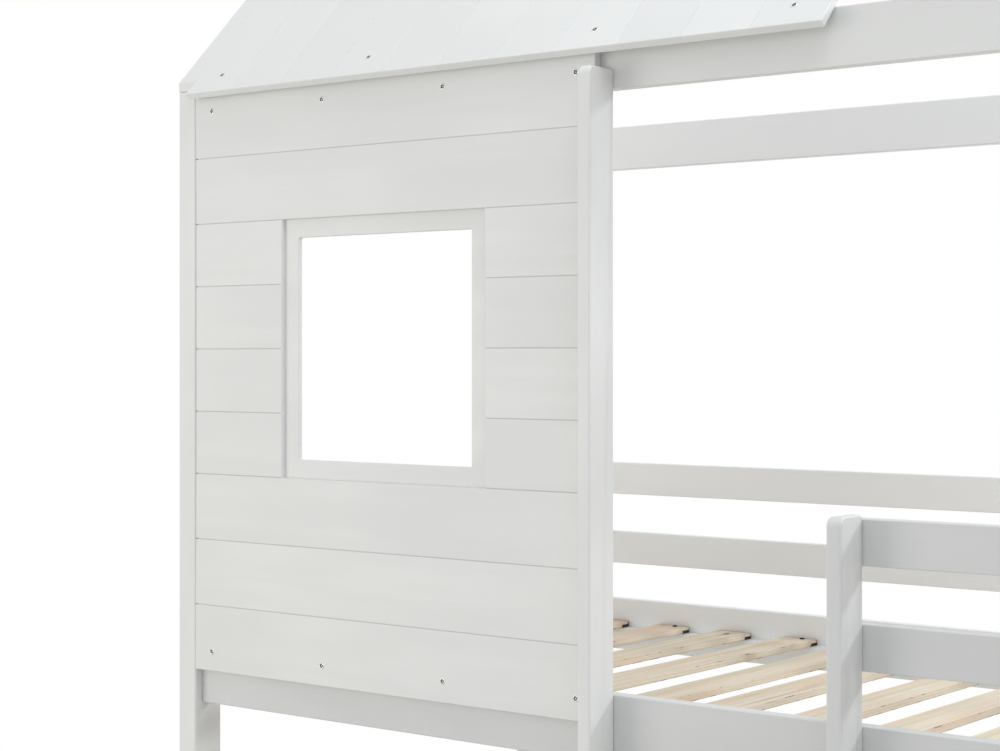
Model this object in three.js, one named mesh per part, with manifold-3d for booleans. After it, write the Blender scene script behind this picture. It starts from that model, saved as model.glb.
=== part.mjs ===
import * as THREE from 'three';
import { mergeVertices } from 'three/addons/utils/BufferGeometryUtils.js';
import Module from 'manifold-3d';

// House bunk bed in painted wood, with raw pine slats.
// Millimetres, +Z up, X along the bed, front of the bed towards -Y.
// Places are worked out from the inner face of the left corner posts (X = 0),
// the front face of the front corner posts (Y = 0) and the floor (Z = 0).
// One group then moves the whole bed so that its box stands centred on the origin.

const wasm = await Module();
wasm.setup();

// Joints
const fitGap = 0.3;
const cutOverrun = 5;

// Mattresses, the same for both bunks
const mattressLength = 1900;
const mattressWidth = 900;
const mattressEndGap = 9;
const mattressSideGap = 10.25;

// Corner posts
const postWidth = 41;
const postDepth = 60;
const postHeight = 1820;
const postEdgeRadius = 3;

// Rails, guard boards, ties and beams are all sawn from one board thickness
const boardThickness = 22;
const boardEdgeRadius = 2;
const railHeight = 100;
const upperRailTop = 892;
const lowerRailTop = 131;

// Guard boards round the upper bunk
const guardHeight = 62.4;
const guardLowerGap = 71;
const guardUpperGap = 75;
const endGuardDrop = 13.5;

// Slats and the ledges that carry them
const ledgeWidth = 20;
const ledgeHeight = 22;
const ledgeRise = 24;
const slatWidth = 70;
const slatThickness = 11;
const slatEdgeRadius = 1.5;
const slatEndGap = 2.5;
const slatEndMargin = 14;
const slatCount = 14;
// The upper slats were laid by hand, so each lies a share of the pitch off its even place
const slatShiftShares = [0, 0.01, 0.024, 0.017, 0.03, 0.079, -0.013, 0.083, 0.084, 0.07, 0.055, 0.04, 0.02, 0];

// Webbing that holds the lower slats together as a roll
const webbingWidth = 16;
const webbingThickness = 1.4;
const webbingSink = 0.4;
const webbingInset = 40;

// Wall of the upper bunk, one grooved sheet with a window
const wallWidth = 822.7;
const wallThickness = 15.2;
const wallRailLap = 42.3;
const wallBeamReveal = 21.3;
const wallRowsAbove = 2;
const wallRowsBeside = 4;
const wallRowsBelow = 3;
const grooveWidth = 3;
const grooveDepth = 2;
const windowHoleSize = 418;
const windowFrameWidth = 30.2;
const windowFrameThickness = 8;

// Ladder
const stileThickness = 22;
const stileDepth = 59.7;
const stileEdgeRadius = 3.5;
const stileTopRadius = 13;
const tallStileLap = 29.5;
const shortStileRise = 5.2;
const entryWidth = 373.5;
const rungCount = 3;
const rungThickness = 22;
const rungDepth = 50;
const rungEdgeRadius = 4;

// Roof
const roofPitch = THREE.MathUtils.degToRad(46);
const rafterHeel = 16;
const rafterDepth = 60;
const roofSheetWidth = 1200;
const roofSheetThickness = 12;
const roofPlankCount = 11;
const eavesOverhang = 23;
const eavesBeamHeight = 80;
const backBeamHeight = 85;
const backBeamDrop = 4.5;
const endTieHeight = 80;
const ridgeBeamHeight = 60;

// Steps in a quarter round
const easeSteps = 3;
const stileTopSteps = 8;

// Plan of the bed
const innerLength = mattressLength + 2 * mattressEndGap;
const frontBoardY = wallThickness + fitGap;
const frontInnerY = frontBoardY + boardThickness;
const backInnerY = frontInnerY + mattressWidth + 2 * mattressSideGap;
const backBoardY = backInnerY + boardThickness;
const bedDepth = backBoardY + frontBoardY;
const backPostY = bedDepth - postDepth;
const rightPostX = innerLength;
const endBoardInset = (postWidth - boardThickness) / 2;
const ridgeY = bedDepth / 2;
const stileFrontY = wallThickness - stileDepth;

// Heights of the bunks
const upperRailBottom = upperRailTop - railHeight;
const lowerRailBottom = lowerRailTop - railHeight;
const slatLength = backInnerY - frontInnerY - 2 * slatEndGap;
const slatPitch = (innerLength - 2 * slatEndMargin - slatWidth) / (slatCount - 1);
const lowGuardBottom = upperRailTop + guardLowerGap;
const highGuardBottom = lowGuardBottom + guardHeight + guardUpperGap;
const guardTop = highGuardBottom + guardHeight;

// The rafter tops and the roof sheet share one plane, which rises with Y from the front posts
const roofSlope = Math.tan(roofPitch);
const upright = 1 / Math.cos(roofPitch);
const rafterSeat = postHeight + fitGap;
const roofPlaneFoot = rafterSeat + rafterHeel;
const sheetUndersideFoot = roofPlaneFoot - roofSheetThickness * upright;

// Top of a beam whose eased front corner, at frontY, just clears the underside of the sheet
function beamTopUnderSheet(frontY) {
  const cornerY = frontY + boardEdgeRadius;
  const cornerZ = sheetUndersideFoot + roofSlope * cornerY - (boardEdgeRadius + fitGap) * upright;
  return cornerZ + boardEdgeRadius;
}

const eavesBeamTop = beamTopUnderSheet(frontBoardY);
const eavesBeamBottom = eavesBeamTop - eavesBeamHeight;
const backBeamTop = eavesBeamTop - backBeamDrop;
const ridgeBeamFrontY = ridgeY - boardThickness / 2;
const ridgeBeamTop = beamTopUnderSheet(ridgeBeamFrontY);

// Wall and ladder
const wallLeft = fitGap;
const wallRight = wallLeft + wallWidth;
const wallBottom = upperRailTop - wallRailLap;
const wallTop = eavesBeamTop - wallBeamReveal;
const wallPlankHeight = (wallTop - wallBottom - windowHoleSize) / (wallRowsAbove + wallRowsBelow);
const windowLeft = (wallLeft + wallRight - windowHoleSize) / 2;
const windowBottom = wallBottom + wallRowsBelow * wallPlankHeight;
const tallStileX = wallRight + fitGap;
const shortStileX = tallStileX + stileThickness + entryWidth;
const tallStileTop = eavesBeamBottom + tallStileLap;
const shortStileTop = guardTop + shortStileRise;
const rungRise = upperRailTop / (rungCount + 1);

// Materials
const whitePaint = new THREE.MeshStandardMaterial({ color: '#dfe0de', roughness: 0.45, metalness: 0 });
const rawPine = new THREE.MeshStandardMaterial({ color: '#dbcfba', roughness: 0.7, metalness: 0 });

const bed = new THREE.Group();
bed.position.set(-innerLength / 2, -(stileFrontY + bedDepth) / 2, 0);

function addPiece(name, material, geometry) {
  const mesh = new THREE.Mesh(geometry, material);
  mesh.name = name;
  bed.add(mesh);
  return mesh;
}

// Outline of a sawn board's section with its four corners rounded, from the origin up
function easedSection(width, height, radius) {
  const corners = [
    [width - radius, height - radius],
    [radius, height - radius],
    [radius, radius],
    [width - radius, radius],
  ];
  const points = [];
  corners.forEach(([centreX, centreY], corner) => {
    for (let step = 0; step <= easeSteps; step += 1) {
      const angle = (corner + step / easeSteps) * Math.PI / 2;
      const x = centreX + radius * Math.cos(angle);
      const y = centreY + radius * Math.sin(angle);
      points.push(new THREE.Vector2(x, y));
    }
  });
  return points;
}

function extrude(points, depth) {
  return new THREE.ExtrudeGeometry(new THREE.Shape(points), { depth, bevelEnabled: false });
}

// Turns that carry an extrusion from local Z to the axis that a board runs along
const unitX = new THREE.Vector3(1, 0, 0);
const unitY = new THREE.Vector3(0, 1, 0);
const unitZ = new THREE.Vector3(0, 0, 1);
const turnAlong = {
  x: new THREE.Matrix4().makeBasis(unitY, unitZ, unitX),
  y: new THREE.Matrix4().makeBasis(unitZ, unitX, unitY),
  z: new THREE.Matrix4().makeBasis(unitX, unitY, unitZ),
};
const sectionAxes = { x: ['y', 'z'], y: ['z', 'x'], z: ['x', 'y'] };

// A straight board that fills a box given as [low, high] spans, with its long edges eased
function boardGeometry(along, spans, radius) {
  const [first, second] = sectionAxes[along];
  const size = (axis) => spans[axis][1] - spans[axis][0];
  const geometry = extrude(easedSection(size(first), size(second), radius), size(along));
  geometry.applyMatrix4(turnAlong[along]);
  geometry.translate(spans.x[0], spans.y[0], spans.z[0]);
  return geometry;
}

function addBoard(name, along, spans, radius = boardEdgeRadius, material = whitePaint) {
  return addPiece(name, material, boardGeometry(along, spans, radius));
}

// A closed outline in Y and Z carried along X from x to x + width
function sideProfile(outline, x, width) {
  const geometry = extrude(outline.map(([y, z]) => new THREE.Vector2(y, z)), width);
  geometry.applyMatrix4(turnAlong.x);
  geometry.translate(x, 0, 0);
  return geometry;
}

// Boolean cuts and joins
function toSolid(geometry) {
  const bare = geometry.clone();
  bare.deleteAttribute('normal');
  bare.deleteAttribute('uv');
  const merged = mergeVertices(bare);
  return new wasm.Manifold(new wasm.Mesh({
    numProp: 3,
    vertProperties: new Float32Array(merged.attributes.position.array),
    triVerts: new Uint32Array(merged.index.array),
  }));
}

function toGeometry(solid) {
  const mesh = solid.getMesh();
  const geometry = new THREE.BufferGeometry();
  geometry.setAttribute('position', new THREE.BufferAttribute(new Float32Array(mesh.vertProperties), 3));
  geometry.setIndex(new THREE.BufferAttribute(new Uint32Array(mesh.triVerts), 1));
  geometry.computeVertexNormals();
  return geometry;
}

function boxSolid(spans) {
  const size = (axis) => spans[axis][1] - spans[axis][0];
  const middle = (axis) => (spans[axis][0] + spans[axis][1]) / 2;
  const geometry = new THREE.BoxGeometry(size('x'), size('y'), size('z'));
  geometry.translate(middle('x'), middle('y'), middle('z'));
  return toSolid(geometry);
}

// Spans that several boards share
const betweenPosts = [fitGap, innerLength - fitGap];
const acrossEnds = [postDepth + fitGap, backPostY - fitGap];
const frontBoards = [frontBoardY, frontInnerY];
const backBoards = [backInnerY, backBoardY];
const upFrom = (bottom, height) => [bottom, bottom + height];
const ends = [
  ['left', -postWidth],
  ['right', rightPostX],
];

// Corner posts
for (const [side, x] of ends) {
  for (const [face, y] of [['front', 0], ['back', backPostY]]) {
    const spans = { x: upFrom(x, postWidth), y: upFrom(y, postDepth), z: [0, postHeight] };
    addBoard(`post_${face}_${side}`, 'z', spans, postEdgeRadius);
  }
}

// Side rails, end rails and slat ledges of one bunk
function addBunkFrame(bunk, railBottom) {
  const railZ = upFrom(railBottom, railHeight);
  const ledgeZ = upFrom(railBottom + ledgeRise, ledgeHeight);
  addBoard(`${bunk}_rail_front`, 'x', { x: betweenPosts, y: frontBoards, z: railZ });
  addBoard(`${bunk}_rail_back`, 'x', { x: betweenPosts, y: backBoards, z: railZ });
  const frontLedgeY = upFrom(frontInnerY + fitGap, ledgeWidth);
  const backLedgeY = upFrom(backInnerY - fitGap - ledgeWidth, ledgeWidth);
  addBoard(`${bunk}_ledge_front`, 'x', { x: betweenPosts, y: frontLedgeY, z: ledgeZ });
  addBoard(`${bunk}_ledge_back`, 'x', { x: betweenPosts, y: backLedgeY, z: ledgeZ });
  for (const [side, x] of ends) {
    const spans = { x: upFrom(x + endBoardInset, boardThickness), y: acrossEnds, z: railZ };
    addBoard(`${bunk}_rail_${side}`, 'y', spans);
  }
}

addBunkFrame('upper', upperRailBottom);
addBunkFrame('lower', lowerRailBottom);

// Slats lie across the bed on the ledges
const slatY = upFrom(frontInnerY + slatEndGap, slatLength);

function slatSpans(index, railBottom, shiftShare) {
  const left = slatEndMargin + (index + shiftShare) * slatPitch;
  const bottom = railBottom + ledgeRise + ledgeHeight + fitGap;
  return { x: upFrom(left, slatWidth), y: slatY, z: upFrom(bottom, slatThickness) };
}

for (let index = 0; index < slatCount; index += 1) {
  const spans = slatSpans(index, upperRailBottom, slatShiftShares[index] ?? 0);
  addBoard(`upper_slat_${index + 1}`, 'y', spans, slatEdgeRadius, rawPine);
}

// The lower slats are one roll: two strips of webbing run under them, inside the ledges
function lowerSlatRoll() {
  const first = slatSpans(0, lowerRailBottom, 0);
  const last = slatSpans(slatCount - 1, lowerRailBottom, 0);
  let roll = toSolid(boardGeometry('y', first, slatEdgeRadius));
  for (let index = 1; index < slatCount; index += 1) {
    roll = roll.add(toSolid(boardGeometry('y', slatSpans(index, lowerRailBottom, 0), slatEdgeRadius)));
  }
  const stripX = [first.x[0] + slatEdgeRadius, last.x[1] - slatEdgeRadius];
  const stripZ = upFrom(first.z[0] + webbingSink - webbingThickness, webbingThickness);
  for (const y of [slatY[0] + webbingInset, slatY[1] - webbingInset - webbingWidth]) {
    roll = roll.add(boxSolid({ x: stripX, y: upFrom(y, webbingWidth), z: stripZ }));
  }
  return toGeometry(roll);
}

addPiece('lower_slat_roll', rawPine, lowerSlatRoll());

// Guard boards: the back ones run from post to post, the front ones start at the short stile
for (const [level, bottom] of [['low', lowGuardBottom], ['high', highGuardBottom]]) {
  const guardZ = upFrom(bottom, guardHeight);
  const fromStile = [shortStileX, innerLength - fitGap];
  addBoard(`guard_front_${level}`, 'x', { x: fromStile, y: frontBoards, z: guardZ });
  addBoard(`guard_back_${level}`, 'x', { x: betweenPosts, y: backBoards, z: guardZ });
  for (const [side, x] of ends) {
    const endX = upFrom(x + endBoardInset, boardThickness);
    const endZ = upFrom(bottom - endGuardDrop, guardHeight);
    addBoard(`guard_${side}_${level}`, 'y', { x: endX, y: acrossEnds, z: endZ });
  }
}

// Beams and ties at the eaves, and the ridge beam
const eavesBeamZ = [eavesBeamBottom, eavesBeamTop];
const backBeamZ = [backBeamTop - backBeamHeight, backBeamTop];
const ridgeBeamZ = [ridgeBeamTop - ridgeBeamHeight, ridgeBeamTop];
addBoard('eaves_beam_front', 'x', { x: betweenPosts, y: frontBoards, z: eavesBeamZ });
addBoard('eaves_beam_back', 'x', { x: betweenPosts, y: backBoards, z: backBeamZ });
addBoard('ridge_beam', 'x', { x: betweenPosts, y: upFrom(ridgeBeamFrontY, boardThickness), z: ridgeBeamZ });
for (const [side, x] of ends) {
  const tieX = upFrom(x + endBoardInset, boardThickness);
  const tieZ = [postHeight - endTieHeight, postHeight];
  addBoard(`eaves_tie_${side}`, 'y', { x: tieX, y: acrossEnds, z: tieZ });
}

// Rafters stand on the post tops with a level seat and a plumb heel, and meet plumb at the ridge
const roofPlaneZ = (y) => roofPlaneFoot + roofSlope * y;
const rafterUndersideZ = (y) => roofPlaneZ(y) - rafterDepth * upright;
const rafterSeatEndY = (rafterSeat - rafterUndersideZ(0)) / roofSlope;
const rafterTipY = ridgeY - fitGap / 2;
const frontRafter = [
  [0, rafterSeat],
  [rafterSeatEndY, rafterSeat],
  [rafterTipY, rafterUndersideZ(rafterTipY)],
  [rafterTipY, roofPlaneZ(rafterTipY)],
  [0, roofPlaneFoot],
];
const backRafter = frontRafter.map(([y, z]) => [bedDepth - y, z]);
for (const [side, x] of ends) {
  addPiece(`rafter_front_${side}`, whitePaint, sideProfile(frontRafter, x, postWidth));
  addPiece(`rafter_back_${side}`, whitePaint, sideProfile(backRafter, x, postWidth));
}

// Roof sheet: a grooved section laid along the slope, cut square at the eaves and plumb at the ridge
function roofSheetGeometry() {
  const plankWidth = roofSheetWidth / roofPlankCount;
  const section = [new THREE.Vector2(0, 0), new THREE.Vector2(roofSheetWidth, 0)];
  section.push(new THREE.Vector2(roofSheetWidth, roofSheetThickness));
  for (let seam = roofPlankCount - 1; seam > 0; seam -= 1) {
    const x = seam * plankWidth;
    section.push(new THREE.Vector2(x + grooveWidth / 2, roofSheetThickness));
    section.push(new THREE.Vector2(x, roofSheetThickness - grooveDepth));
    section.push(new THREE.Vector2(x - grooveWidth / 2, roofSheetThickness));
  }
  section.push(new THREE.Vector2(0, roofSheetThickness));
  const slopeLength = (ridgeY + eavesOverhang) * upright;
  const geometry = extrude(section, slopeLength + cutOverrun);
  // The section's thickness points off the roof and its length runs up the slope
  const upSlope = new THREE.Vector3(0, Math.cos(roofPitch), Math.sin(roofPitch));
  const offRoof = new THREE.Vector3(0, -Math.sin(roofPitch), Math.cos(roofPitch));
  geometry.translate(0, -roofSheetThickness, 0);
  geometry.applyMatrix4(new THREE.Matrix4().makeBasis(unitX.clone().negate(), offRoof, upSlope));
  geometry.translate(fitGap + roofSheetWidth, -eavesOverhang, roofPlaneZ(-eavesOverhang));
  const beyondRidge = boxSolid({
    x: [-cutOverrun, roofSheetWidth + cutOverrun],
    y: [ridgeY, bedDepth],
    z: [0, roofPlaneZ(bedDepth)],
  });
  return toGeometry(toSolid(geometry).subtract(beyondRidge));
}

addPiece('roof_panel', whitePaint, roofSheetGeometry());

// Wall: a sheet with level V grooves in its face, then the window cut through it
function wallGeometry() {
  const seams = [];
  for (let row = 1; row <= wallRowsBelow; row += 1) {
    seams.push(wallBottom + row * wallPlankHeight);
  }
  for (let row = 1; row < wallRowsBeside; row += 1) {
    seams.push(windowBottom + row * windowHoleSize / wallRowsBeside);
  }
  for (let row = wallRowsAbove; row > 0; row -= 1) {
    seams.push(wallTop - row * wallPlankHeight);
  }
  const outline = [[wallThickness, wallBottom], [wallThickness, wallTop], [0, wallTop]];
  for (const seam of seams.toReversed()) {
    outline.push([0, seam + grooveWidth / 2], [grooveDepth, seam], [0, seam - grooveWidth / 2]);
  }
  outline.push([0, wallBottom]);
  const hole = boxSolid({
    x: upFrom(windowLeft, windowHoleSize),
    y: [-cutOverrun, wallThickness + cutOverrun],
    z: upFrom(windowBottom, windowHoleSize),
  });
  return toGeometry(toSolid(sideProfile(outline, wallLeft, wallWidth)).subtract(hole));
}

addPiece('wall_panel', whitePaint, wallGeometry());

// Window frame: a square ring let into the hole, flush with the back of the wall
function windowFrameGeometry() {
  const ring = boxSolid({
    x: [windowLeft + fitGap, windowLeft + windowHoleSize - fitGap],
    y: [wallThickness - windowFrameThickness, wallThickness],
    z: [windowBottom + fitGap, windowBottom + windowHoleSize - fitGap],
  });
  const light = boxSolid({
    x: [windowLeft + windowFrameWidth, windowLeft + windowHoleSize - windowFrameWidth],
    y: [-cutOverrun, wallThickness + cutOverrun],
    z: [windowBottom + windowFrameWidth, windowBottom + windowHoleSize - windowFrameWidth],
  });
  return toGeometry(ring.subtract(light));
}

addPiece('window_frame', whitePaint, windowFrameGeometry());

// Ladder stile: an eased upright whose top front corner is rounded in the side view
function stileGeometry(x, top) {
  const stileY = [stileFrontY, wallThickness];
  const upright3d = boardGeometry('z', { x: upFrom(x, stileThickness), y: stileY, z: [0, top] }, stileEdgeRadius);
  const outline = [[wallThickness + cutOverrun, top], [wallThickness + cutOverrun, -cutOverrun]];
  outline.push([stileFrontY, -cutOverrun]);
  for (let step = 0; step <= stileTopSteps; step += 1) {
    const angle = (step / stileTopSteps) * Math.PI / 2;
    const y = stileFrontY + stileTopRadius * (1 - Math.cos(angle));
    outline.push([y, top - stileTopRadius * (1 - Math.sin(angle))]);
  }
  const side = sideProfile(outline, x - cutOverrun, stileThickness + 2 * cutOverrun);
  return toGeometry(toSolid(upright3d).intersect(toSolid(side)));
}

addPiece('ladder_stile_tall', whitePaint, stileGeometry(tallStileX, tallStileTop));
addPiece('ladder_stile_short', whitePaint, stileGeometry(shortStileX, shortStileTop));

// Rungs between the stiles, evenly spaced up to the top of the upper rail
const rungX = [tallStileX + stileThickness + fitGap, shortStileX - fitGap];
const rungY = upFrom(stileFrontY + (stileDepth - rungDepth) / 2, rungDepth);
for (let rung = 1; rung <= rungCount; rung += 1) {
  const rungZ = [rung * rungRise - rungThickness, rung * rungRise];
  addBoard(`ladder_rung_${rung}`, 'x', { x: rungX, y: rungY, z: rungZ }, rungEdgeRadius);
}

const group = new THREE.Group();
group.add(bed);

export default group;
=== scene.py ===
import math

import bpy
import numpy as np
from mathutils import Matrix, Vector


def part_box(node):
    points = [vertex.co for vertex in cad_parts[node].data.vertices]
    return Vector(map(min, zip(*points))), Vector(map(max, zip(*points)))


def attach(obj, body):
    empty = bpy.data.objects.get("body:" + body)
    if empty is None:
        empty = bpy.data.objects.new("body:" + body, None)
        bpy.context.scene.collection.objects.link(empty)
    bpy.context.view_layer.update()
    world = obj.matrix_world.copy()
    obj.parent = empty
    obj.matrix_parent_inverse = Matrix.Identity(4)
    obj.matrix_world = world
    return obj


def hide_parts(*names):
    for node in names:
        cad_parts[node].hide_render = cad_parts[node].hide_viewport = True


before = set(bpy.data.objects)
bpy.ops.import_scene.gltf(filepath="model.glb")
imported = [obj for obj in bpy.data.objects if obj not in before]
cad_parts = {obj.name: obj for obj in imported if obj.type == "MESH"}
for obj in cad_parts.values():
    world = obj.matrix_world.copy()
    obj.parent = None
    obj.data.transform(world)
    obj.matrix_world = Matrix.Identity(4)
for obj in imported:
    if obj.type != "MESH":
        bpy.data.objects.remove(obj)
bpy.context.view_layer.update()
mm = 0.001
print("frame loaded:", len(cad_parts), "pieces")

# camera: level, at eye height, turned left to look along the bed
cameraSet = {
    "eye": (1.5292, -2.8156, 1.375),
    "turnDegrees": 38.14,
    "lens": 72.38,
    "sensor": 36.0,
    "horizonRow": 356.0,
    "imageSize": (1000.0, 751.0),
    "clipEnd": 60.0,
}


def addObject(name, data):
    holder = bpy.data.objects.new(name, data)
    bpy.context.scene.collection.objects.link(holder)
    return holder


def makeCamera(values):
    width, height = values["imageSize"]
    camera = bpy.data.cameras.new("view")
    camera.sensor_width = values["sensor"]
    camera.lens = values["lens"]
    camera.shift_y = (values["horizonRow"] - height / 2) / width
    camera.clip_end = values["clipEnd"]
    holder = addObject("view", camera)
    holder.location = values["eye"]
    holder.rotation_euler = (math.radians(90), 0.0, math.radians(values["turnDegrees"]))
    bpy.context.scene.camera = holder


makeCamera(cameraSet)
bpy.context.scene.view_settings.view_transform = "Standard"
print("camera placed")


# small helpers for node trees
def addNode(tree, kind, **settings):
    node = tree.nodes.new(kind)
    for key, value in settings.items():
        setattr(node, key, value)
    return node


def mathNode(tree, operation, first, second=None, third=None, clamp=False):
    node = addNode(tree, "ShaderNodeMath", operation=operation, use_clamp=clamp)
    for socket, value in zip(node.inputs, (first, second, third)):
        feed(tree, socket, value)
    return node.outputs[0]


def product(tree, first, second, clamp=False):
    return mathNode(tree, "MULTIPLY", first, second, clamp=clamp)


def feed(tree, socket, value):
    if value is None:
        return
    if isinstance(value, bpy.types.NodeSocket):
        tree.links.new(value, socket)
    else:
        socket.default_value = value


def wire(tree, node, values):
    for name, value in values.items():
        feed(tree, node.inputs[name], value)
    return node


def scaleVector(tree, vector, scale):
    node = addNode(tree, "ShaderNodeVectorMath", operation="MULTIPLY")
    return wire(tree, node, {0: vector, 1: scale}).outputs[0]


# noise with its own scale along each axis
def noise(tree, vector, scale, detail=2.0):
    node = addNode(tree, "ShaderNodeTexNoise")
    wire(tree, node, {"Vector": scaleVector(tree, vector, scale), "Scale": 1.0, "Detail": detail})
    return node.outputs["Fac"]


def smoothRange(tree, value, low, high, toLow=0.0, toHigh=1.0):
    node = addNode(tree, "ShaderNodeMapRange", interpolation_type="SMOOTHSTEP")
    wire(tree, node, {"Value": value, "From Min": low, "From Max": high, "To Min": toLow, "To Max": toHigh})
    return node.outputs["Result"]


# the mix node's sockets 0, 6 and 7 are its factor and two colours, and output 2 is the colour
def mixColor(tree, factor, first, second):
    node = addNode(tree, "ShaderNodeMix", data_type="RGBA")
    wire(tree, node, {0: factor, 6: first, 7: second})
    return node.outputs[2]


def mixShader(tree, factor, first, second, output):
    mix = wire(tree, addNode(tree, "ShaderNodeMixShader"), {0: factor, 1: first, 2: second})
    wire(tree, output, {"Surface": mix.outputs[0]})


def srgb(red, green, blue):
    levels = np.array([red, green, blue]) / 255.0
    linear = np.where(levels <= 0.04045, levels / 12.92, ((levels + 0.055) / 1.055) ** 2.4)
    return (*linear.tolist(), 1.0)


# group with a vector input, numbers with a value to start from, and numbers out
def newGroup(name, numbersIn, numbersOut):
    group = bpy.data.node_groups.new(name, "ShaderNodeTree")
    group.interface.new_socket(name="Vector", in_out="INPUT", socket_type="NodeSocketVector")
    for socketName, value in numbersIn.items():
        socket = group.interface.new_socket(name=socketName, in_out="INPUT", socket_type="NodeSocketFloat")
        socket.default_value = value
    for socketName in numbersOut:
        group.interface.new_socket(name=socketName, in_out="OUTPUT", socket_type="NodeSocketFloat")
    start = addNode(group, "NodeGroupInput")
    end = addNode(group, "NodeGroupOutput")
    return group, start, end


def placeGroup(tree, group, values):
    return wire(tree, addNode(tree, "ShaderNodeGroup", node_tree=group), values)


def startMaterial(name):
    material = bpy.data.materials.new(name)
    material.use_nodes = True
    tree = material.node_tree
    tree.nodes.clear()
    output = addNode(tree, "ShaderNodeOutputMaterial")
    return material, tree, output


# backdrop: white where a ray only looks, plain grey light where it lights the bed
worldSet = {
    "fillLevel": 0.73,
    "fillColor": srgb(251, 252, 255),
    "lookLevel": 1.0,
    "lookColor": (1.0, 1.0, 1.0, 1.0),
}


def makeWorld(values):
    world = bpy.data.worlds.new("studio")
    bpy.context.scene.world = world
    world.use_nodes = True
    tree = world.node_tree
    tree.nodes.clear()
    output = addNode(tree, "ShaderNodeOutputWorld")
    lights = []
    for kind in ("fill", "look"):
        looks = {"Color": values[kind + "Color"], "Strength": values[kind + "Level"]}
        lights.append(wire(tree, addNode(tree, "ShaderNodeBackground"), looks).outputs[0])
    mixShader(tree, lookingRay(tree), *lights, output)


# 1 where a ray comes straight from the camera, off a glossy surface or through a clear one
def lookingRay(tree):
    path = addNode(tree, "ShaderNodeLightPath")
    direct = mathNode(tree, "MAXIMUM", path.outputs["Is Camera Ray"], path.outputs["Is Glossy Ray"])
    return mathNode(tree, "MAXIMUM", direct, path.outputs["Is Transmission Ray"])


makeWorld(worldSet)

floorSet = {
    "radius": 4.2,
    "fadeFrom": 1.9,
    "fadeTo": 3.3,
    "rings": 24,
    "sides": 96,
    "firstRing": 0.02,
    "color": srgb(204, 204, 202),
    "speckle": srgb(198, 198, 196),
    "speckleShare": 0.25,
    "speckleScale": (9.0, 9.0, 9.0),
    "roughness": 0.7,
}


# disc: point = radius * share * (cos turn, sin turn), on a grid of shares and turns, fading to white outwards
def makeFloor(values):
    share = np.linspace(values["firstRing"], 1.0, values["rings"])[:, None]
    turn = np.linspace(0, 2 * np.pi, values["sides"], endpoint=False)[None, :]
    x = values["radius"] * share * np.cos(turn)
    y = values["radius"] * share * np.sin(turn)
    points = np.stack([x, y, np.zeros_like(x)], axis=-1).reshape(-1, 3)
    faces = gridQuads(values["rings"], values["sides"], wrapAcross=True)[:, ::-1].tolist()
    faces.append(np.arange(values["sides"]).tolist())
    mesh = bpy.data.meshes.new("floor")
    mesh.from_pydata(points.tolist(), [], faces)
    floor = addObject("floor", mesh)
    material, tree, output = startMaterial("paleFloor")
    spot = addNode(tree, "ShaderNodeTexCoord").outputs["Object"]
    speckle = noise(tree, spot, values["speckleScale"], 3.0)
    speckle = smoothRange(tree, speckle, 0.3, 0.7, 0.0, values["speckleShare"])
    tint = mixColor(tree, speckle, values["color"], values["speckle"])
    surface = addNode(tree, "ShaderNodeBsdfPrincipled")
    wire(tree, surface, {"Base Color": tint, "Roughness": values["roughness"]})
    distance = wire(tree, addNode(tree, "ShaderNodeVectorMath", operation="LENGTH"), {0: spot})
    fade = smoothRange(tree, distance.outputs["Value"], values["fadeFrom"], values["fadeTo"])
    white = addNode(tree, "ShaderNodeEmission")
    mixShader(tree, product(tree, fade, lookingRay(tree)), surface.outputs[0], white.outputs[0], output)
    mesh.materials.append(material)


# quads of a grid of rows by columns, with the last column joined to the first where it wraps
def gridQuads(rows, columns, wrapAcross=False, wrapDown=False):
    row = np.arange(rows if wrapDown else rows - 1)[:, None]
    column = np.arange(columns if wrapAcross else columns - 1)[None, :]
    nextRow = (row + 1) % rows
    nextColumn = (column + 1) % columns
    quads = np.stack([
        row * columns + column,
        row * columns + nextColumn,
        nextRow * columns + nextColumn,
        nextRow * columns + column,
    ], axis=-1)
    return quads.reshape(-1, 4)


makeFloor(floorSet)

# square lamps: cool light from above the ladder side, warmer light low on the left, and two lamps past the
# right end, the small one for crisp shadows
lampSet = {
    "overhead": {
        "place": (0.9, -0.9, 3.9), "aim": (0.1, -0.1, 1.4),
        "size": 1.0, "watts": 19.5, "color": (0.9, 0.95, 1.0),
    },
    "leftLow": {
        "place": (-2.7, -3.5, 1.15), "aim": (-0.3, -0.4, 1.1),
        "size": 2.2, "watts": 31.5, "color": (1.0, 0.96, 0.85),
    },
    "rightEnd": {
        "place": (4.55, 2.76, 3.55), "aim": (0.0, -0.25, 1.2),
        "size": 0.7, "watts": 84.0, "color": (0.96, 0.98, 1.0),
    },
    "rightHigh": {
        "place": (3.0, 0.8, 4.6), "aim": (0.0, -0.2, 1.3),
        "size": 1.6, "watts": 33.0, "color": (0.96, 0.98, 1.0),
    },
}


def makeLamps(values):
    for name, lamp in values.items():
        light = bpy.data.lights.new(name, "AREA")
        light.shape = "SQUARE"
        light.size = lamp["size"]
        light.energy = lamp["watts"]
        light.color = lamp["color"]
        holder = addObject(name, light)
        place = np.array(lamp["place"])
        holder.location = place
        aim = np.array(lamp["aim"]) - place
        across = math.hypot(aim[0], aim[1])
        holder.rotation_euler = (math.atan2(across, -aim[2]), 0.0, math.atan2(aim[1], aim[0]) - math.pi / 2)


makeLamps(lampSet)
print("stage set: world, floor and lamps")


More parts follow.
